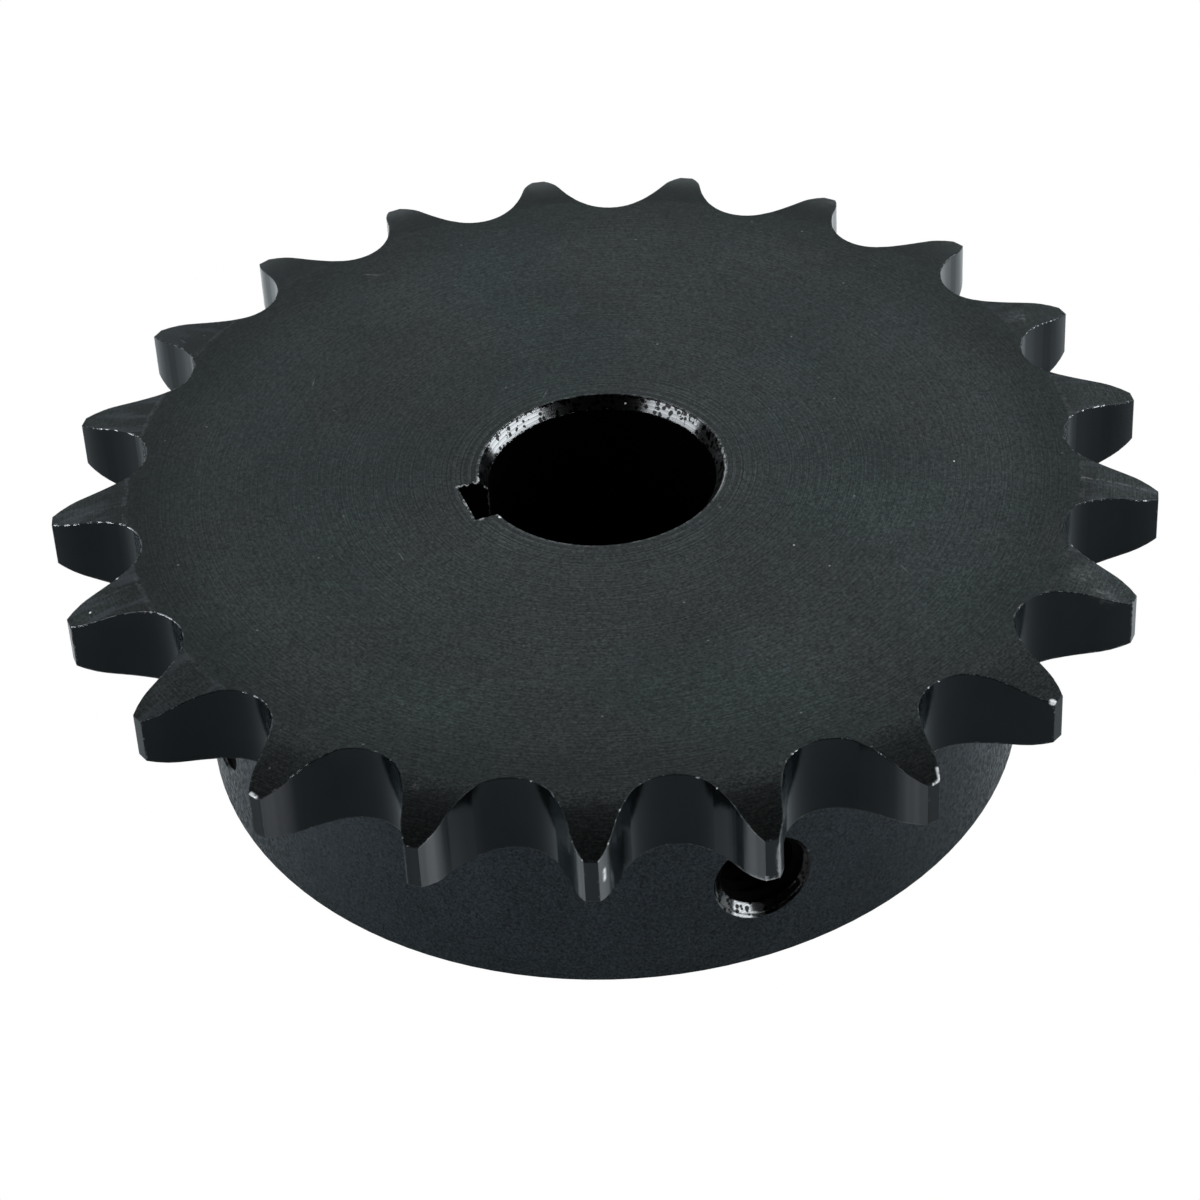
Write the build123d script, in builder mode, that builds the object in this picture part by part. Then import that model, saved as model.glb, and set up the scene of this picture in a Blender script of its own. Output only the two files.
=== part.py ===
"""Roller-chain sprocket: a toothed plate and a one-sided hub, turned, hobbed, broached and tapped as one piece.

Z is the bore's axis, Z = 0 is the hub's end face, and the toothed plate is on top. The keyway points along +X.
"""

import os
from math import cos, radians, sin, tan

from build123d import *

# The chain, and how many teeth run in it
pitch = 12.7
roller_diameter = 7.925
teeth = 21

# The turned blank
tooth_width = 7.2
overall_length = 25.4
hub_diameter = 69.85
hub_edge_break = 0.45
hub_root_fillet = 0.8

# The bore and its keyway
bore_diameter = 19.05
bore_chamfer_width = 0.76
bore_chamfer_depth = 1.0
key_width = 4.76
key_depth = 2.38

# The set-screw holes: one comes out in the keyway, the other is a quarter turn on
screw_diameter = 7.94
screw_edge_break = 0.2
screw_angles = (0, 90)

# What follows from them
hub_radius = hub_diameter / 2
hub_length = overall_length - tooth_width
plate_middle = hub_length + tooth_width / 2
bore_radius = bore_diameter / 2
half_step = 180 / teeth
pitch_radius = pitch / (2 * sin(radians(half_step)))
outside_radius = pitch * (0.6 + 1 / tan(radians(half_step))) / 2

# Tooth form, in the standard proportions for roller chain, in millimetres and degrees. The roller sits in the
# seat arc and rides up the working arc, and past a short straight flank the topping arc rounds the tooth.
seat_radius = 0.5025 * roller_diameter + 0.038
seat_angle = 35 + 60 / teeth
working_reach = 0.8 * roller_diameter
working_radius = 1.3025 * roller_diameter + 0.038
working_angle = 18 - 56 / teeth
topping_reach = 1.4 * roller_diameter
topping_angle = 17 - 64 / teeth
topping_radius = (
    working_reach * cos(radians(working_angle)) + topping_reach * cos(radians(topping_angle)) - working_radius
)
flank_length = topping_reach * sin(radians(topping_angle)) - working_reach * sin(radians(working_angle))

# Both sides of the teeth are eased by a flat arc, from a faint crease half a pitch below the tips to an eighth
# of a pitch deep there
ease_height = pitch / 2
ease_depth = pitch / 8
ease_radius = pitch * 2
ease_start = outside_radius - ease_height


def polar(radius, angle):
    return Vector(radius * cos(radians(angle)), radius * sin(radians(angle)))


# One gap between two teeth, on +X and drawn from the roller's centre: half of it, mirrored, out past the tips
roller_centre = Vector(pitch_radius, 0)
flank_normal = 90 + seat_angle - working_angle
with BuildSketch() as gap:
    with BuildLine():
        CenterArc(roller_centre, seat_radius, 180, seat_angle - 90)
        working_arc = CenterArc(
            roller_centre + polar(working_reach, seat_angle - 90),
            working_radius,
            90 + seat_angle,
            -working_angle,
        )
        PolarLine(working_arc @ 1, flank_length, flank_normal - 90)
        tooth_centre_line = Axis((0, 0, 0), polar(1, half_step))
        topping_arc = CenterArc(
            roller_centre + polar(topping_reach, 90 + half_step),
            topping_radius,
            flank_normal - 180,
            tooth_centre_line,
        )
        clear_of_tips = polar(outside_radius + ease_depth, half_step)
        Polyline(topping_arc @ 1, clear_of_tips, (clear_of_tips.X, 0))
        mirror(about=Plane.XZ)
    make_face()

with BuildPart() as sprocket:
    # The blank, turned in one profile: the hub, which reaches halfway into the plate, and the plate's eased rim
    with BuildSketch(Plane.XZ):
        with BuildLine():
            Polyline(
                (bore_radius, plate_middle),
                (bore_radius, bore_chamfer_depth),
                (bore_radius + bore_chamfer_width, 0),
                (hub_radius - hub_edge_break, 0),
                (hub_radius, hub_edge_break),
                (hub_radius, plate_middle),
                close=True,
            )
        make_face()
        with BuildLine():
            Polyline(
                (ease_start, overall_length),
                (bore_radius + bore_chamfer_width, overall_length),
                (bore_radius, overall_length - bore_chamfer_depth),
                (bore_radius, hub_length),
                (ease_start, hub_length),
            )
            lower_ease = RadiusArc(
                (ease_start, hub_length), (outside_radius, hub_length + ease_depth), -ease_radius
            )
            upper_ease = RadiusArc(
                (outside_radius, overall_length - ease_depth), (ease_start, overall_length), -ease_radius
            )
            Line(lower_ease @ 1, upper_ease @ 0)
        make_face()
    revolve(axis=Axis.Z)
    hub_root = sprocket.edges().sort_by_distance((0, hub_radius, hub_length))[0]
    to_crease = abs(ease_start - hub_radius)
    fillet(hub_root, min(hub_root_fillet, to_crease * 0.9))

    # The gaps, cut through the plate
    with BuildSketch(Plane.XY.offset(hub_length)):
        with PolarLocations(0, teeth, half_step):
            add(gap.sketch)
    extrude(amount=tooth_width, mode=Mode.SUBTRACT)

    # The keyway, broached through the bore
    with BuildSketch():
        Rectangle(bore_radius + key_depth, key_width, align=(Align.MIN, Align.CENTER))
    extrude(amount=overall_length, mode=Mode.SUBTRACT)

    # The set-screw holes, halfway up the hub
    for angle in screw_angles:
        with BuildSketch(Plane(origin=(0, 0, hub_length / 2), z_dir=polar(1, angle))):
            Circle(screw_diameter / 2)
        extrude(amount=hub_diameter, mode=Mode.SUBTRACT)
    hub_wall = sprocket.faces().filter_by(GeomType.CYLINDER).sort_by(SortBy.AREA)[-1]
    chamfer(hub_wall.edges().filter_by(GeomType.BSPLINE), screw_edge_break)

os.makedirs("parts", exist_ok=True)
sprocket.part.label = "sprocket"
export_step(sprocket.part, "parts/sprocket.step")
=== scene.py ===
"""The looks of the chain sprocket: blackened steel, set-screw threads, floor, light and camera."""

import math
from types import SimpleNamespace

import bmesh
import bpy
from mathutils import Matrix, Vector


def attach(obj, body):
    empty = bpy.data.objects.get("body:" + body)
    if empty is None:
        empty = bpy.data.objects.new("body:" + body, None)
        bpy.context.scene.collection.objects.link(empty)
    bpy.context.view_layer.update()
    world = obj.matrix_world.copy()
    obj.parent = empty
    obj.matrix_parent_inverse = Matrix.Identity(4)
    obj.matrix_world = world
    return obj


MM = 0.001
SLOT = "blackened_steel"

# Sizes of the CAD part that the finishes and the threads go by, in millimetres
CHAIN_PITCH = 12.7
TIP_RADIUS = 45.94
ROOT_RADIUS = 38.58
EASE_RADIUS = TIP_RADIUS - CHAIN_PITCH / 2
PLATE_TOP = 25.4
TOOTH_WIDTH = 7.2
PLATE_UNDER = PLATE_TOP - TOOTH_WIDTH
HUB_RADIUS = 34.925
BORE_RADIUS = 9.525
BORE_RIM = BORE_RADIUS + 0.8  # just past the chamfer
KEY_FLOOR = BORE_RADIUS + 2.38
SCREW_HEIGHT = PLATE_UNDER / 2
SCREW_RADIUS = 3.97
SCREW_EDGE = 0.2
SCREW_REACH = 4.3  # half the height that a set-screw hole takes up, mouth and all

# How upright a surface's normal is, from 0 to 1: at least this on the turned faces, at most this on walls
FACE_FROM = 0.82
WALL_TO = 0.3

# Azimuths are in degrees, counter-clockwise from above, in a frame whose -Y side faces the camera. This
# turns them into the part's own frame.
VIEW_TURN = 161.683
RIGHT, BACK, LEFT, FRONT = 0, 90, 180, 270

# The black finish and the steel that shows through it, some of these colours painted light and shade
OXIDE = (0.0165, 0.0198, 0.0203, 1)
GREENISH_OXIDE = (0.0148, 0.0205, 0.0202, 1)
HUB_OXIDE = (0.0185, 0.0240, 0.0288, 1)
# A painted highlight on the hub's left side
HUB_PAINTED_LIGHT_LEFT = (0.0250, 0.0330, 0.0400, 1)
HOBBED_OXIDE = (0.0090, 0.0117, 0.0133, 1)
# Painted shade for the inside of the bore and the set-screw holes
BORE_PAINTED_SHADE = (0.002, 0.002, 0.002, 1)
FILM_TINT = (0.90, 0.97, 1.0, 1)
SCRATCH = (0.16, 0.17, 0.175, 1)
WORN_STEEL = (0.36, 0.38, 0.40, 1)
HAZE = (0.085, 0.092, 0.098, 1)
RUBBED = (0.050, 0.058, 0.070, 1)
TIP_RUB_AND_SHEEN = (0.135, 0.145, 0.155, 1)
FIBRE = (0.12, 0.128, 0.135, 1)
SMUDGE = (0.13, 0.14, 0.135, 1)
COUNTERSINK = (0.115, 0.122, 0.127)
# Painted shade on the countersinks' steel
COUNTERSINK_PAINTED_SHADE = (0.018, 0.018, 0.019, 1)
PIT = (0.003, 0.003, 0.003, 1)
# A diffuse white for bare rough steel and for painted glints
BARE_STEEL_AND_GLINT = (0.70, 0.73, 0.76, 1)

# How rough each surface is, and the least and the most that patches add on the hub's wall
WALL_ROUGH = 0.34
FACE_ROUGH = 0.42
HOBBED_ROUGH = 0.16
SCREW_ROUGH = 0.9
COUNTERSINK_ROUGH = 0.13
HUB_PATCHES = (-0.12, 0.20)

# Painted highlights and shade on the flat face, standing in for its sheen: the azimuth where most, how
# many degrees from there it ends, the amount, and the distances from the axis where it starts and is full,
# if it changes on the way out
FACE_PAINTED_LIGHT = (
    (165, 60, -0.19, None),
    (240, 45, 0.14, (26.0, 14.0)),
    (315, 50, 0.12, (18.0, 28.0)),
    (5, 45, 0.05, None),
    (FRONT, 60, -0.06, (14.0, 22.0)),
)

# Single nicks and painted glints: azimuth, distance from the axis, height and width, in millimetres but for
# the azimuth
NICKS_AND_GLINTS = (
    (195.0, 41.2, 25.2, 0.36),
    (198.5, 44.1, 24.5, 0.30),
    (317.6, 45.8, 23.9, 0.80),
    (214.1, 10.3, 25.4, 0.45),
    (356.5, 29.2, 25.4, 0.18),
    (322.5, 19.1, 25.4, 0.15),
    (320.8, 23.0, 25.4, 0.12),
    (340.0, 39.9, 25.4, 0.30),
)
SMUDGES = (
    (26.2, 41.2, 25.2, 3.4),
    (335.8, 41.6, 25.1, 3.6),
    (334.4, 43.6, 24.6, 3.2),
    (247.8, 40.9, 25.2, 1.2),
)

# The tip over the set-screw hole has lost the black from its right-hand edge and along its lower end, and
# painted glints lie on these edges too. Each goes up to a height.
WORN_GLINTING_SIDE = ((288.2, 45.4, 21.7, 7.0),)
WORN_GLINTING_SIDE_TOP = 23.4
WORN_GLINTING_END = ((282.3, 44.6, 19.4, 5.4),)
WORN_GLINTING_END_TOP = 20.25

# Painted glints along the tips: both ends in the same terms, and the width
TIP_GLINTS = (
    ((232.1, 45.8, 23.85), (232.8, 45.85, 23.8), 0.48),
    ((302.4, 45.0, 24.10), (301.9, 45.8, 23.8), 0.46),
    ((301.9, 45.8, 23.8), (301.1, 45.95, 23.75), 0.40),
    ((268.1, 45.3, 22.4), (268.1, 45.3, 21.5), 0.80),
)


def direction(azimuth, elevation=0.0):
    """A unit vector in the part's frame."""
    a, e = math.radians(azimuth + VIEW_TURN), math.radians(elevation)
    return Vector((math.cos(a) * math.cos(e), math.sin(a) * math.cos(e), math.sin(e)))


def spot(azimuth, out, up):
    """The place out millimetres off the axis and up millimetres above the hub's end face."""
    return direction(azimuth) * out + Vector((0, 0, up))


def add(name, data):
    """A new object in the scene."""
    item = bpy.data.objects.new(name, data)
    bpy.context.scene.collection.objects.link(item)
    return item


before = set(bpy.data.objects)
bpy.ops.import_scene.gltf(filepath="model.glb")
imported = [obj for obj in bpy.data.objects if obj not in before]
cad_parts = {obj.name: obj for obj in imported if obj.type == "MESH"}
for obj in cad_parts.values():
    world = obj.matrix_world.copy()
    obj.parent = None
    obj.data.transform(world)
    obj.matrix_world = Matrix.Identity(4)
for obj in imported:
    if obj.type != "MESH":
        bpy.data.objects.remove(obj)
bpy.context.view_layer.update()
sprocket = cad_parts["sprocket"]


# ------------------------------------------------------------------ shader building
class Tree:
    """A node tree, and short ways to add to it. A value is a number, a vector or another node's socket.

    A mask is 1 in some part of the surface and 0 elsewhere. Masks multiply where both must hold.
    """

    def __init__(self, tree):
        self.tree = tree

    def node(self, kind, values=(), **settings):
        node = self.tree.nodes.new(kind)
        for name, value in settings.items():
            setattr(node, name, value)
        for name, value in dict(values).items():
            self.feed(node.inputs[name], value)
        return node

    def feed(self, socket, value):
        if isinstance(value, bpy.types.NodeSocket):
            self.tree.links.new(value, socket)
        else:
            socket.default_value = value

    # ---- numbers
    def calc(self, operation, *values):
        return self.node("ShaderNodeMath", enumerate(values), operation=operation).outputs[0]

    def chain(self, operation, values):
        result = values[0]
        for value in values[1:]:
            result = self.calc(operation, result, value)
        return result

    def times(self, *values):
        return self.chain("MULTIPLY", values)

    def plus(self, *values):
        return self.chain("ADD", values)

    def most(self, *values):
        return self.chain("MAXIMUM", values)

    def minus(self, value, other):
        return self.calc("SUBTRACT", value, other)

    def absolute(self, value):
        return self.calc("ABSOLUTE", value)

    def ramp(self, value, low, high, first=0.0, last=1.0, smooth=True):
        """From first, where value is low, to last, where it is high."""
        node = self.node(
            "ShaderNodeMapRange",
            {"Value": value, "From Min": low, "From Max": high, "To Min": first, "To Max": last},
            interpolation_type="SMOOTHSTEP" if smooth else "LINEAR",
        )
        return node.outputs["Result"]

    def sway(self, noise, amount, low=0.3, high=0.7):
        """A factor round 1 that is amount less where noise is low and amount more where it is high."""
        return self.ramp(noise, low, high, 1 - amount, 1 + amount, smooth=False)

    def mix(self, share, first, last):
        node = self.node("ShaderNodeMix", data_type="FLOAT")
        for socket, value in zip((node.inputs[0], node.inputs[2], node.inputs[3]), (share, first, last)):
            self.feed(socket, value)
        return node.outputs[0]

    def where(self, mask, factor):
        """The factor where the mask is 1, and 1 elsewhere."""
        return self.mix(mask, 1.0, factor)

    # ---- masks
    def above(self, value, limit):
        return self.calc("GREATER_THAN", value, limit)

    def below(self, value, limit):
        return self.calc("LESS_THAN", value, limit)

    def between(self, value, low, high):
        return self.times(self.above(value, low), self.below(value, high))

    def apart_from(self, mask):
        return self.minus(1.0, mask)

    def fan(self, spoke, azimuth, spread):
        """1 where spoke, a level unit vector, points to azimuth, falling to 0 spread degrees away from it."""
        towards = self.vector("DOT_PRODUCT", spoke, direction(azimuth), out="Value")
        return self.ramp(towards, math.cos(math.radians(spread)), 1.0)

    def spots(self, place, table, core):
        """1 in the core of each spot of the table, falling to 0 at its rim. core is a share of its size."""
        result = 0.0
        for *centre, size in table:
            near = self.vector("DISTANCE", place, spot(*centre), out="Value")
            result = self.most(result, self.ramp(near, size / 2, size / 2 * core))
        return result

    def strokes(self, place, table):
        """1 along each line of the table, falling to 0 at half its width."""
        result = 0.0
        for start, end, width in table:
            start, line = spot(*start), spot(*end) - spot(*start)
            offset = self.vector("SUBTRACT", place, start)
            along = self.vector("DOT_PRODUCT", offset, line, out="Value")
            share = self.ramp(along, 0.0, line.length_squared, smooth=False)
            near = self.vector("DISTANCE", offset, self.scaled(line, share), out="Value")
            result = self.most(result, self.ramp(near, width / 2, 0.0))
        return result

    # ---- vectors and colours
    def vector(self, operation, *values, out="Vector"):
        return self.node("ShaderNodeVectorMath", enumerate(values), operation=operation).outputs[out]

    def scaled(self, vector, factor):
        node = self.node("ShaderNodeVectorMath", {0: vector, "Scale": factor}, operation="SCALE")
        return node.outputs["Vector"]

    def parts(self, vector):
        return self.node("ShaderNodeSeparateXYZ", {0: vector}).outputs

    def polar(self, spoke, radius, around, outwards):
        """A place to read noise at. It moves by around for each radian, by outwards for each millimetre out.

        Where around is less than the radius is, the grains run round the part. Where outwards is less than 1,
        they run outwards.
        """
        circle = self.vector("MULTIPLY", spoke, (around, around, 0.0))
        out = self.node("ShaderNodeCombineXYZ", {"Z": self.times(radius, outwards)}).outputs[0]
        return self.vector("ADD", circle, out)

    def mix_colour(self, share, first, last):
        node = self.node("ShaderNodeMix", data_type="RGBA")
        for socket, value in zip((node.inputs[0], node.inputs[6], node.inputs[7]), (share, first, last)):
            self.feed(socket, value)
        return node.outputs[2]

    def painted(self, colour, *layers):
        """The colour under layers, each a mask and its colour."""
        for mask, paint in layers:
            colour = self.mix_colour(mask, colour, paint)
        return colour

    # ---- patterns
    def noise(self, where, size, detail=2.0, rough=0.5):
        """3-D noise whose grains are about size millimetres."""
        values = {"Vector": where, "Scale": 1 / size, "Detail": detail, "Roughness": rough}
        return self.node("ShaderNodeTexNoise", values).outputs["Fac"]

    def rings(self, distance, size):
        """Noise along one distance only."""
        values = {"W": distance, "Scale": 1 / size, "Detail": 1.0}
        return self.node("ShaderNodeTexNoise", values, noise_dimensions="1D").outputs["Fac"]

    def cells(self, where, size, **settings):
        """A Voronoi node, and two random numbers for each of its cells."""
        node = self.node("ShaderNodeTexVoronoi", {"Vector": where, "Scale": 1 / size}, **settings)
        first, second = self.node("ShaderNodeSeparateColor", {0: node.outputs["Color"]}).outputs[:2]
        return node, first, second

    def specks(self, where, cell, size, share):
        """Dots on a level face, one in this share of the cells. cell and size are in millimetres."""
        node, picked, _ = self.cells(where, cell, voronoi_dimensions="2D")
        reach = size / cell / 2
        return self.times(self.below(picked, share), self.ramp(node.outputs["Distance"], reach, reach / 2))

    def scratches(self, where, cell, length, width, share):
        """Straight marks in all directions, one in this share of the cells."""
        node, picked, turn = self.cells(where, cell, voronoi_dimensions="2D")
        offset = self.vector("SUBTRACT", where, node.outputs["Position"])
        values = {"Vector": offset, "Angle": self.times(turn, math.pi)}
        turned = self.node("ShaderNodeVectorRotate", values, rotation_type="Z_AXIS").outputs[0]
        along, across, _ = self.parts(self.vector("ABSOLUTE", turned))
        mark = self.times(self.ramp(along, length / 2, length / 3), self.ramp(across, width / 2, width / 4))
        return self.times(mark, self.below(picked, share))


# ------------------------------------------------------------------ blackened steel
def surface(t):
    """Where a point is, in millimetres, which surface it is on, and the noises that several marks share."""
    at = SimpleNamespace()
    at.place = t.scaled(t.node("ShaderNodeTexCoord").outputs["Object"], 1 / MM)
    at.x, at.y, at.z = t.parts(at.place)
    at.level = t.vector("MULTIPLY", at.place, (1, 1, 0))
    at.radius = t.vector("LENGTH", at.level, out="Value")
    at.spoke = t.vector("NORMALIZE", at.level)
    at.normal = t.node("ShaderNodeNewGeometry").outputs["Normal"]
    facing = t.absolute(t.parts(at.normal)[2])

    level_with_screw = t.between(at.z, SCREW_HEIGHT - SCREW_REACH, SCREW_HEIGHT + SCREW_REACH)
    at.screw = t.times(level_with_screw, t.between(at.radius, KEY_FLOOR - 2, HUB_RADIUS - 0.02))
    at.outside_screw = t.apart_from(at.screw)
    at.faced = t.times(t.above(facing, FACE_FROM), at.outside_screw)
    at.ease = t.times(at.faced, t.above(at.radius, EASE_RADIUS))
    upright = t.times(t.below(facing, WALL_TO), at.outside_screw)
    at.hobbed = t.times(upright, t.above(at.radius, ROOT_RADIUS - 0.3), t.above(at.z, PLATE_UNDER - 0.1))
    at.hub_wall = t.times(upright, t.between(at.radius, HUB_RADIUS - 0.6, HUB_RADIUS + 0.6))
    at.bore = t.most(at.screw, t.times(upright, t.below(at.radius, KEY_FLOOR + 0.1)))
    at.chamfer = t.times(t.below(at.radius, BORE_RIM), t.between(facing, WALL_TO, FACE_FROM))
    at.sides = t.most(t.fan(at.spoke, LEFT, 60), t.fan(at.spoke, RIGHT, 45))

    at.patchy = t.noise(at.place, 0.40, rough=0.7)
    at.blotch = t.noise(at.place, 9.0, detail=3.0, rough=0.6)
    at.grain = t.noise(at.place, 0.22, rough=0.6)
    at.fine_rings = t.rings(at.radius, 0.13)
    at.ring_strength = t.ramp(at.radius, 10.0, 30.0, 1.0, 0.55)
    at.along_teeth = t.polar(at.spoke, at.radius, around=70.0, outwards=0.35)
    at.rubs = t.noise(at.along_teeth, 1.6, rough=0.6)
    return at


def painted_light_on_black(t, at):
    """Painted light and shade on the flat face and the teeth's eased sides, and a darker rim on the flat
    face.
    """
    radius, spoke = at.radius, at.spoke
    to_rim = t.times(t.ramp(radius, 32.0, 39.5), -0.34)
    to_side_rims = t.times(t.ramp(radius, 31.0, 38.5), at.sides, -0.10)
    flat = t.plus(1.0, to_rim, to_side_rims)
    for azimuth, spread, amount, reach in FACE_PAINTED_LIGHT:
        share = t.fan(spoke, azimuth, spread)
        if reach:
            share = t.times(share, t.ramp(radius, *reach))
        flat = t.plus(flat, t.times(share, amount))

    # Painted sheen and shade on the eased sides, growing or fading outwards, different behind, left, right
    # and in front
    behind = t.ramp(radius, EASE_RADIUS, 44.5, 0.80, 1.25)
    on_left = t.ramp(radius, 40.0, 45.5, 0.44, 1.10)
    on_right = t.ramp(radius, EASE_RADIUS, 41.5, 0.80, 1.12)
    in_front = t.ramp(radius, 39.8, 42.2, 1.0, 0.45)
    eased = t.mix(t.fan(spoke, LEFT, 60), behind, on_left)
    eased = t.times(eased, t.where(t.fan(spoke, 5, 50), on_right))
    eased = t.mix(t.fan(spoke, FRONT, 65), eased, in_front)
    return t.mix(at.ease, flat, eased)


def oxide_with_painted_light(t, at):
    """The black finish without marks, with painted light and shade: mottled, with fine turned rings that are
    plainest near the bore.
    """
    tint = t.noise(t.vector("ADD", at.place, (31.0, 7.0, 3.0)), 16.0)
    green = t.times(t.ramp(tint, 0.40, 0.60), t.where(at.ease, 0.25))
    # The turned black, scaled by its painted light and shade
    turned = t.scaled(t.mix_colour(green, OXIDE, GREENISH_OXIDE), painted_light_on_black(t, at))
    # The hub's wall is painted lighter towards the left, a painted highlight
    hub = t.mix_colour(t.fan(at.spoke, 215, 50), HUB_OXIDE, HUB_PAINTED_LIGHT_LEFT)
    # The bore and the set-screw holes are painted near black, as shade
    base = t.painted(turned, (at.hub_wall, hub), (at.hobbed, HOBBED_OXIDE), (at.bore, BORE_PAINTED_SHADE))

    # Rings and streaks round the axis, and broader rings in places near the bore
    streaks = t.noise(t.polar(at.spoke, at.radius, around=22.0, outwards=3.0), 0.38, rough=0.6)
    rings_show = t.most(t.ramp(at.blotch, 0.42, 0.58, 0.15, 1.0), t.fan(at.spoke, 175, 75))
    rings_show = t.times(at.faced, t.ramp(at.radius, 16.0, 10.5), rings_show)
    broad_rings = t.ramp(t.rings(at.radius, 0.32), 0.35, 0.65, 0.70, 1.32, smooth=False)
    gain = t.times(
        t.sway(at.blotch, 0.14),
        t.mix(at.hobbed, t.sway(at.grain, 0.65), 1.0),
        t.where(at.faced, t.sway(streaks, 0.42)),
        t.where(t.times(at.ring_strength, at.faced), t.sway(at.fine_rings, 0.50)),
        t.where(rings_show, broad_rings),
    )
    return t.scaled(base, gain)


def broken_edges(t, at):
    """Gives (normal, same, worn, burred_and_glinting).

    normal rounds the edges. same says how near it is to the surface's own, and is 1 away from the edges.
    worn is where the black has gone from an edge, and burred_and_glinting where such an edge is rough as well
    and painted white, a painted glint: by the keyway, on the bore's rim and on the worn tip.
    """
    side = t.times(t.spots(at.place, WORN_GLINTING_SIDE, 0.9), t.below(at.z, WORN_GLINTING_SIDE_TOP))
    end = t.times(t.spots(at.place, WORN_GLINTING_END, 0.7), t.below(at.z, WORN_GLINTING_END_TOP))
    by_tip = t.most(side, end)
    by_key = t.times(
        t.above(at.x, 8.5),
        t.below(t.absolute(at.y), 3.4),
        t.below(at.radius, 13.6),
        t.above(at.z, PLATE_TOP - 0.6),
    )
    by_rim = t.times(t.fan(at.spoke, 352, 24), t.between(at.radius, 10.1, 10.6))

    # Edges are broken a little more by the bore than on the teeth, unevenly, and most on the worn tip
    size = t.times(t.ramp(at.radius, 13.0, 15.0, 0.32, 0.22), t.ramp(at.patchy, 0.35, 0.65, 0.6, 1.25))
    size = t.times(size, t.plus(1.0, t.times(by_tip, 1.2)), MM)
    normal = t.node("ShaderNodeBevel", {"Radius": size}, samples=4).outputs["Normal"]
    same = t.vector("DOT_PRODUCT", normal, at.normal, out="Value")

    # Dots and dashes of bare steel: where a noise is over kept_black, within the band that an edge takes up
    wide = t.most(by_key, by_tip)
    edge = t.times(at.outside_screw, t.ramp(same, t.mix(wide, 0.96, 0.99), t.mix(wide, 0.87, 0.95)))
    on_teeth = t.ramp(at.radius, 30.0, 35.0)
    kept_black = t.plus(
        t.ramp(at.radius, 13.0, 14.5, 0.50, 0.55),
        t.times(by_key, 0.05),
        t.times(t.fan(at.spoke, LEFT, 60), on_teeth, -0.05),
        t.times(by_tip, -0.22),
        t.times(t.fan(at.spoke, FRONT, 50), on_teeth, 0.05),
        t.times(by_rim, -0.12),
    )
    dots = t.mix(t.mix(by_key, 0.3, 0.0), at.patchy, at.blotch)
    worn = t.times(edge, t.ramp(t.minus(dots, kept_black), -0.01, 0.04))
    # Rough edges by the keyway, on the bore's rim and on the worn tip, painted white as glints too
    burred_and_glinting = t.times(worn, t.most(by_key, by_rim, t.times(by_tip, 0.35)))
    return normal, same, worn, burred_and_glinting


def rubbed_layers(t, at, same):
    """Rubbing by chains and other parts, and a painted reflection on the front tips: layers of a mask and its
    colour.
    """
    # Grey round the gaps, along the eased sides and on the crease where these start
    by_edge = t.times(t.ramp(same, 0.998, 0.96), t.above(at.radius, 37.5), at.faced)
    haze = t.times(by_edge, t.ramp(at.patchy, 0.42, 0.6))
    rubbed = t.times(at.ease, t.ramp(at.rubs, 0.48, 0.68), at.sides)
    off_crease = t.absolute(t.minus(at.radius, EASE_RADIUS + 0.1))
    crease = t.times(at.faced, at.sides, t.ramp(off_crease, 0.35, 0.1), t.ramp(at.patchy, 0.45, 0.62))

    # The front teeth's flanks near the tips are lighter, partly rubbed and partly a painted reflection, but
    # hardly on the tips' flats
    outward = t.vector("DOT_PRODUCT", at.normal, at.spoke, out="Value")
    on_flats = t.above(outward, 0.9)
    front_tips = t.times(at.hobbed, t.ramp(at.radius, 43.0, 44.8), t.fan(at.spoke, 268, 50))
    front_tips = t.times(front_tips, t.ramp(at.rubs, 0.30, 0.70, 0.45, 0.95), t.where(on_flats, 0.08))

    # Fine lines and pale smudges
    fibres = t.scratches(at.along_teeth, cell=2.2, length=2.6, width=0.09, share=0.45)
    fibres = t.times(fibres, at.ease, at.sides, t.ramp(at.patchy, 0.42, 0.58))
    smudge = t.times(t.spots(at.place, SMUDGES, 0.0), t.ramp(at.patchy, 0.44, 0.66, 0.03, 0.55))
    smudge = t.times(smudge, t.ramp(at.rubs, 0.35, 0.60, 0.35, 1.0))
    return (
        (t.times(haze, 0.28), HAZE),
        (t.times(rubbed, 0.35), RUBBED),
        (t.times(crease, 0.22), HAZE),
        (front_tips, TIP_RUB_AND_SHEEN),
        (t.times(fibres, 0.45), FIBRE),
        (smudge, SMUDGE),
    )


def screw_mouth(t, along, across, z, notches):
    """Two masks: a set-screw hole's countersink, and its lower left, where a painted highlight is kept
    bright.

    along is the place along the hole, across the place beside it, counter-clockwise from above. notches is
    a noise that breaks up the end of the painted highlight.
    """
    up = t.minus(z, SCREW_HEIGHT)
    off_axis = t.calc("SQRT", t.plus(t.times(across, across), t.times(up, up)))
    wall = t.calc("SQRT", t.minus(HUB_RADIUS**2, t.times(across, across)))
    depth = t.minus(wall, along)
    off_cone = t.minus(SCREW_RADIUS + SCREW_EDGE, t.plus(off_axis, depth))
    on_cone = t.times(t.between(off_cone, -0.06, 0.06), t.between(depth, 0.01, 0.95))
    down_left = t.calc("DIVIDE", t.plus(t.times(across, -0.65), t.times(up, -0.76)), off_axis)
    return on_cone, t.times(on_cone, t.ramp(t.plus(down_left, t.times(notches, 0.3)), 0.88, 0.93))


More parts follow.
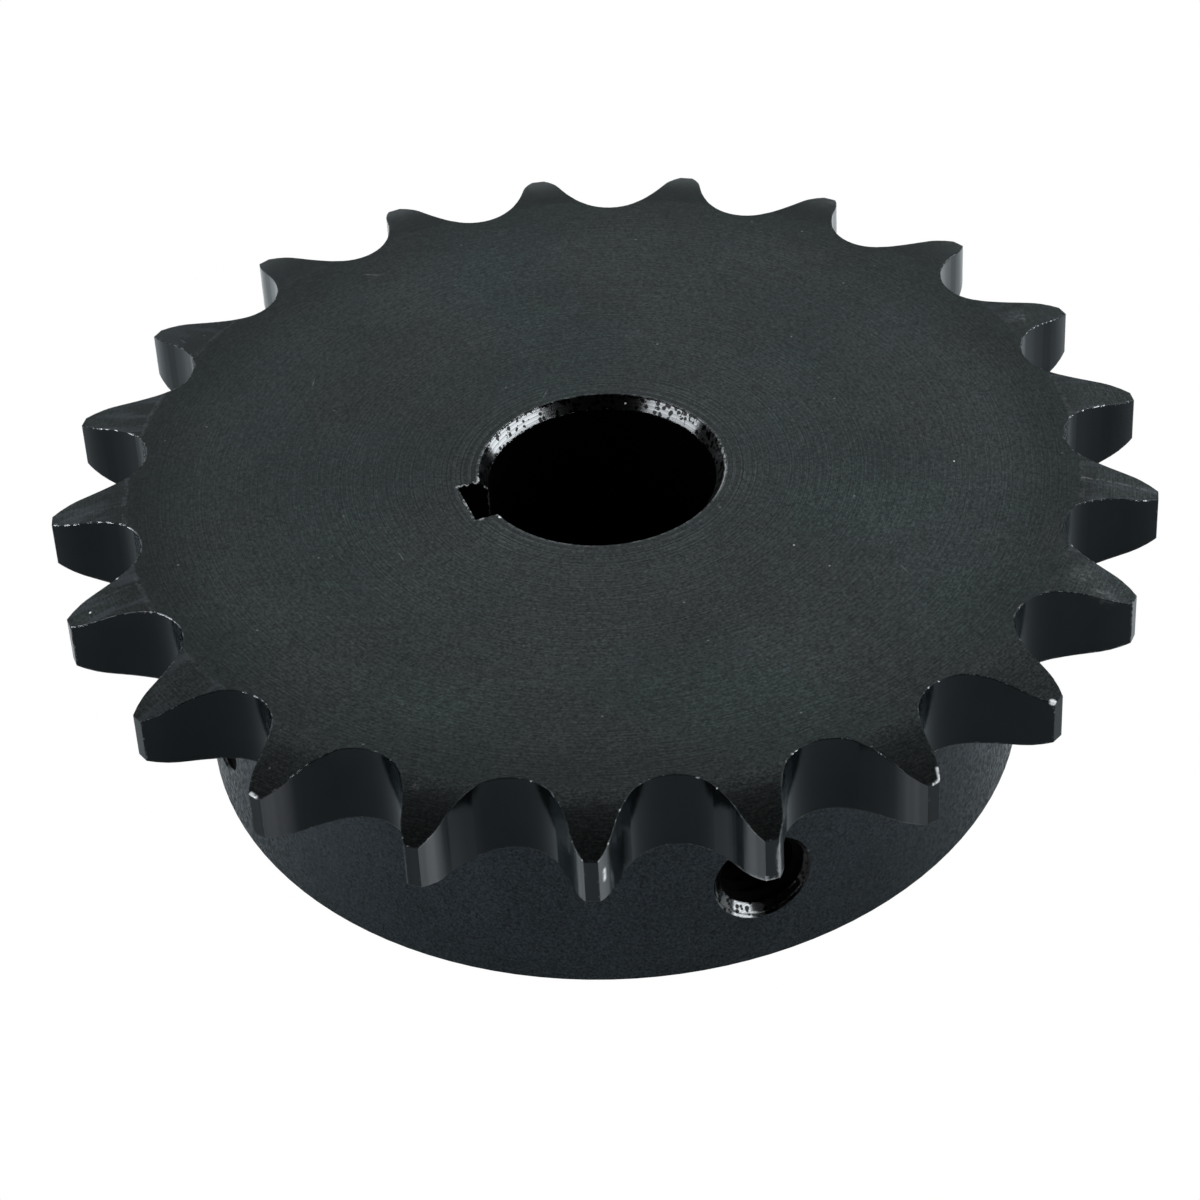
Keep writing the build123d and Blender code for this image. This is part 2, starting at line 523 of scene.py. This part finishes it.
def countersinks(t, at):
    """Where the countersinks are, their colour, and painted glints on them. They were cut after blackening.
    """
    holes = ((at.x, at.y), (at.y, t.minus(0.0, at.x)))
    mouths = [screw_mouth(t, along, across, at.z, at.patchy) for along, across in holes]
    mouth, lit_mouth = (t.most(*masks) for masks in zip(*mouths))
    # Painted shade: the back of the bore's chamfer, and each set-screw countersink but its lower left, are
    # painted dull
    back_in_painted_shade = t.fan(at.spoke, BACK, 27)
    cut_in_painted_shade = t.apart_from(t.most(t.times(at.chamfer, t.apart_from(back_in_painted_shade)), lit_mouth))

    # Pits, some with a painted glint where the chamfer is painted dull, and a ragged rim where the chamfer
    # meets the black
    pits, picked, other = t.cells(at.place, 0.40)
    to_pit = pits.outputs["Distance"]
    pit = t.times(t.below(picked, 0.45), t.ramp(to_pit, 0.58, 0.44))
    ragged_rim = t.below(at.patchy, t.ramp(at.radius, 10.02, 10.30, 0.36, 0.56, smooth=False))
    pit = t.most(pit, t.times(at.chamfer, ragged_rim))
    glint = t.times(t.above(other, 0.95), t.ramp(to_pit, 0.40, 0.25), cut_in_painted_shade, at.chamfer)

    # Bright steel with the lathe's rings, with painted shade towards the right of the back and on the left
    lathed_and_painted_shade = t.times(
        t.sway(t.rings(at.z, 0.09), 0.3, 0.35, 0.65),
        t.ramp(t.fan(at.spoke, 50, 50), 0.0, 1.0, 1.0, 0.62),
        t.ramp(t.fan(at.spoke, 178, 22), 0.1, 0.7, 1.0, 0.25),
    )
    colour = t.painted(t.scaled(COUNTERSINK, lathed_and_painted_shade), (cut_in_painted_shade, COUNTERSINK_PAINTED_SHADE), (pit, PIT))
    return t.most(at.chamfer, mouth), colour, glint


def roughness(t, at, cut):
    """How rough the shader is: each surface's own roughness, uneven on the hub's wall."""
    rough = t.mix(at.faced, WALL_ROUGH, FACE_ROUGH)
    rough = t.plus(rough, t.times(at.hub_wall, t.ramp(at.patchy, 0.35, 0.65, *HUB_PATCHES)))
    rough = t.mix(at.hobbed, rough, HOBBED_ROUGH)
    rough = t.plus(rough, t.ramp(at.grain, 0.2, 0.8, -0.03, 0.03, smooth=False))
    rough = t.mix(at.screw, rough, SCREW_ROUGH)
    return t.mix(cut, rough, COUNTERSINK_ROUGH)


def relief(t, at):
    """Heights in millimetres: turned rings on the faces, and marks that run up the walls."""
    rings = t.plus(t.times(at.fine_rings, at.ring_strength, 0.0006), t.times(t.rings(at.radius, 1.0), 0.001))
    upwards = t.mix(at.hobbed, 0.35, 0.03)
    stretch = t.node("ShaderNodeCombineXYZ", {"X": 1.0, "Y": 1.0, "Z": upwards}).outputs[0]
    marks = t.noise(t.vector("MULTIPLY", at.place, stretch), 0.5)
    marks = t.times(marks, t.plus(t.times(at.hobbed, 0.0035), t.times(at.hub_wall, 0.003)))
    return t.plus(t.times(at.faced, rings), marks, t.times(at.grain, t.mix(at.hobbed, 0.0012, 0.0)))


def blackened_steel():
    material = bpy.data.materials.new(SLOT)
    material.use_nodes = True
    t = Tree(material.node_tree)
    at = surface(t)
    normal, same, worn, burred_and_glinting = broken_edges(t, at)
    cut, cut_colour, glint = countersinks(t, at)

    speck = t.specks(at.level, cell=3.6, size=0.26, share=0.10)
    scratch = t.scratches(at.level, cell=9.0, length=1.5, width=0.10, share=0.12)
    marks = t.times(t.most(speck, scratch), at.faced, t.ramp(at.patchy, 0.35, 0.65), 0.6)
    # Painted glints along the tips and on some nicks; with the bare rough edges they are a diffuse white
    tip_glint = t.times(t.strokes(at.place, TIP_GLINTS), t.ramp(at.patchy, 0.30, 0.55, 0.25, 1.0))
    bare_steel_and_glint = t.most(burred_and_glinting, t.spots(at.place, NICKS_AND_GLINTS, 0.4), tip_glint, glint)
    colour = t.painted(
        oxide_with_painted_light(t, at),
        (marks, SCRATCH),
        (worn, WORN_STEEL),
        *rubbed_layers(t, at, same),
        (cut, cut_colour),
        (bare_steel_and_glint, BARE_STEEL_AND_GLINT),
    )
    relief_values = {"Height": relief(t, at), "Distance": MM, "Strength": 1.0, "Normal": normal}

    shader = material.node_tree.nodes["Principled BSDF"]
    t.feed(shader.inputs["Base Color"], colour)
    t.feed(shader.inputs["Metallic"], t.mix(bare_steel_and_glint, 0.9, 0.2))
    t.feed(shader.inputs["Roughness"], roughness(t, at, cut))
    t.feed(shader.inputs["Specular Tint"], FILM_TINT)
    t.feed(shader.inputs["Normal"], t.node("ShaderNodeBump", relief_values).outputs["Normal"])
    return material


steel = blackened_steel()
for holder in sprocket.material_slots:
    holder.material = steel


# ------------------------------------------------------------------ threads
THREAD_PITCH = 1.411
THREAD_FOOT = SCREW_RADIUS + 0.05  # where the ridge starts, just inside the wall
THREAD_CREST = 3.27
FOOT_HALF = 0.62  # half the ridge's width at its foot, and at its crest
CREST_HALF = 0.17
PROFILE_STEPS = 10
TURN_STEPS = 36  # round one turn
BEFORE_INNER_END = 0.4  # the ridge starts this much early and ends this much late, and is trimmed
PAST_MOUTH = 0.1
INNER_GAP = 0.05  # from the bore's wall or the keyway's floor to the ridge
WELD = 0.0005  # points closer than this are joined
CREASE_FROM = 25  # degrees between faces that don't shade as one


def thread_profile():
    """The ridge's cross-section: points as (distance from the hole's axis, place along it)."""
    slope = (THREAD_FOOT - THREAD_CREST) / (FOOT_HALF - CREST_HALF)
    offsets = [FOOT_HALF * (2 * k / PROFILE_STEPS - 1) for k in range(PROFILE_STEPS + 1)]
    return [(max(THREAD_CREST, THREAD_FOOT - (FOOT_HALF - abs(o)) * slope), o) for o in offsets]


def thread_rows(turn, inner_end):
    """The cross-section at each step along the ridge, as rows of points in metres."""
    profile = thread_profile()
    first, last = inner_end - BEFORE_INNER_END, HUB_RADIUS + PAST_MOUTH
    to_part = Matrix.Rotation(math.radians(turn), 3, "Z")
    rows = []
    for step in range(int((last - first) / THREAD_PITCH * TURN_STEPS) + 1):
        angle = 2 * math.pi * step / TURN_STEPS
        mouth = math.sqrt(HUB_RADIUS**2 - (SCREW_RADIUS * math.cos(angle)) ** 2) - SCREW_EDGE
        row = []
        for ridge, offset in profile:
            along = min(max(first + THREAD_PITCH * step / TURN_STEPS + offset, inner_end), mouth)
            ridge = max(ridge, THREAD_FOOT - (along - inner_end), SCREW_RADIUS - (mouth - along))
            ridge = min(ridge, THREAD_FOOT)
            point = to_part @ Vector((along, ridge * math.cos(angle), ridge * math.sin(angle)))
            row.append((point + Vector((0, 0, SCREW_HEIGHT))) * MM)
        rows.append(row)
    return rows


def swept(name, rows):
    """A closed mesh through the rows, each of which is one outline of it."""
    n, last = len(rows[0]), (len(rows) - 1) * len(rows[0])
    sides = [
        (start + k, start + (k + 1) % n, start + (k + 1) % n + n, start + k + n)
        for start in range(0, last, n)
        for k in range(n)
    ]
    ends = [tuple(reversed(range(n))), tuple(range(last, last + n))]
    mesh = bpy.data.meshes.new(name)
    mesh.from_pydata([point for row in rows for point in row], [], sides + ends)
    cleaner = bmesh.new()
    cleaner.from_mesh(mesh)
    bmesh.ops.remove_doubles(cleaner, verts=cleaner.verts, dist=WELD * MM)
    bmesh.ops.dissolve_degenerate(cleaner, edges=cleaner.edges, dist=WELD * MM)
    bmesh.ops.recalc_face_normals(cleaner, faces=cleaner.faces)
    cleaner.to_mesh(mesh)
    cleaner.free()
    mesh.polygons.foreach_set("use_smooth", [True] * len(mesh.polygons))
    mesh.set_sharp_from_angle(angle=math.radians(CREASE_FROM))
    return mesh


def thread(name, turn, inner_end):
    """The ridge that a tap leaves in a set-screw hole, from inner_end millimetres off the axis to the mouth.

    turn is the hole's direction round the part, in degrees. The CAD hole is as wide as the thread's root, so
    the ridge stands on its wall. The ridge runs out at the hole's two ends.
    """
    ridge = add(name, swept(name, thread_rows(turn, inner_end)))
    ridge.data.materials.append(steel)
    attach(ridge, "root")


thread("thread_over_key", turn=0, inner_end=KEY_FLOOR + INNER_GAP)
thread("thread_beside_key", turn=90, inner_end=BORE_RADIUS + INNER_GAP)


# ------------------------------------------------------------------ floor
FLOOR_REACH = 3.0


def plain_floor(name, depth, seen):
    """A white floor, depth millimetres under the part. The seen one glows, and is for the camera alone."""
    mesh = bpy.data.meshes.new(name)
    corners = ((-1, -1), (1, -1), (1, 1), (-1, 1))
    points = [(x * FLOOR_REACH, y * FLOOR_REACH, -depth * MM) for x, y in corners]
    mesh.from_pydata(points, [], [(0, 1, 2, 3)])
    white = bpy.data.materials.new(name)
    white.use_nodes = True
    pale = 0.0 if seen else 0.9
    looks = {
        "Base Color": (pale, pale, pale, 1),
        "Roughness": 0.9,
        "Specular IOR Level": 0.0,
        "Emission Color": (1, 1, 1, 1),
        "Emission Strength": 1.0 if seen else 0.0,
    }
    for socket, value in looks.items():
        white.node_tree.nodes["Principled BSDF"].inputs[socket].default_value = value
    mesh.materials.append(white)
    floor = add(name, mesh)
    floor.visible_camera = seen
    floor.visible_diffuse = floor.visible_glossy = floor.visible_shadow = not seen


plain_floor("floor_seen", depth=0.02, seen=True)
plain_floor("floor_lit", depth=0.05, seen=False)


# ------------------------------------------------------------------ light
def softbox(name, azimuth, elevation, width, height, brightness, away=0.9):
    """An area light that faces the part. width, height and away are in metres, brightness is its radiance."""
    data = bpy.data.lights.new(name, "AREA")
    data.shape = "RECTANGLE"
    data.size, data.size_y = width, height
    data.energy = brightness * math.pi * width * height
    light = add(name, data)
    towards = direction(azimuth, elevation)
    light.location = towards * away
    light.rotation_euler = towards.to_track_quat("Z", "Y").to_euler()
    light.visible_camera = False


def room(low, high, wall, ceiling):
    """A world as bright as wall up to low, and as ceiling above high. Both are sines of elevations."""
    world = bpy.data.worlds.new("studio")
    bpy.context.scene.world = world
    world.use_nodes = True
    t = Tree(world.node_tree)
    height = t.parts(t.node("ShaderNodeTexCoord").outputs["Generated"])[2]
    t.feed(world.node_tree.nodes["Background"].inputs["Strength"], t.ramp(height, low, high, wall, ceiling))


softbox("left_softbox", azimuth=198, elevation=24, width=0.85, height=0.42, brightness=6.5)
softbox("right_softbox", azimuth=350, elevation=22, width=1.21, height=0.42, brightness=6.0)
softbox("back_panel", azimuth=84, elevation=43.6, width=2.4, height=0.874, brightness=1.86, away=1.2)
room(low=0.12, high=0.25, wall=0.9, ceiling=0.03)

# ------------------------------------------------------------------ camera
# Fitted to the photo: where it is, in degrees and metres, how far it then turns from the part's origin about
# its own axes, in degrees, and its lens and sensor, in millimetres
CAMERA_ELEVATION = math.radians(40.9603)
CAMERA_DISTANCE = 0.345130
CAMERA_TURNS = ((0.13364, "Y"), (1.43512, "X"), (-3.24490, "Z"))
LENS = 118.697
SENSOR_WIDTH = 36.0

camera_data = bpy.data.cameras.new("camera")
camera_data.sensor_width = SENSOR_WIDTH
camera_data.lens = LENS
camera = add("camera", camera_data)
turn = Matrix.Rotation(math.radians(VIEW_TURN), 4, "Z")
back, rise = CAMERA_DISTANCE * math.cos(CAMERA_ELEVATION), CAMERA_DISTANCE * math.sin(CAMERA_ELEVATION)
aim = turn @ Matrix.Rotation(math.pi / 2 - CAMERA_ELEVATION, 4, "X")
for angle, axis in CAMERA_TURNS:
    aim = aim @ Matrix.Rotation(math.radians(angle), 4, axis)
camera.matrix_world = Matrix.Translation(turn @ Vector((0, -back, rise))) @ aim
bpy.context.scene.camera = camera
bpy.context.scene.view_settings.view_transform = "Standard"
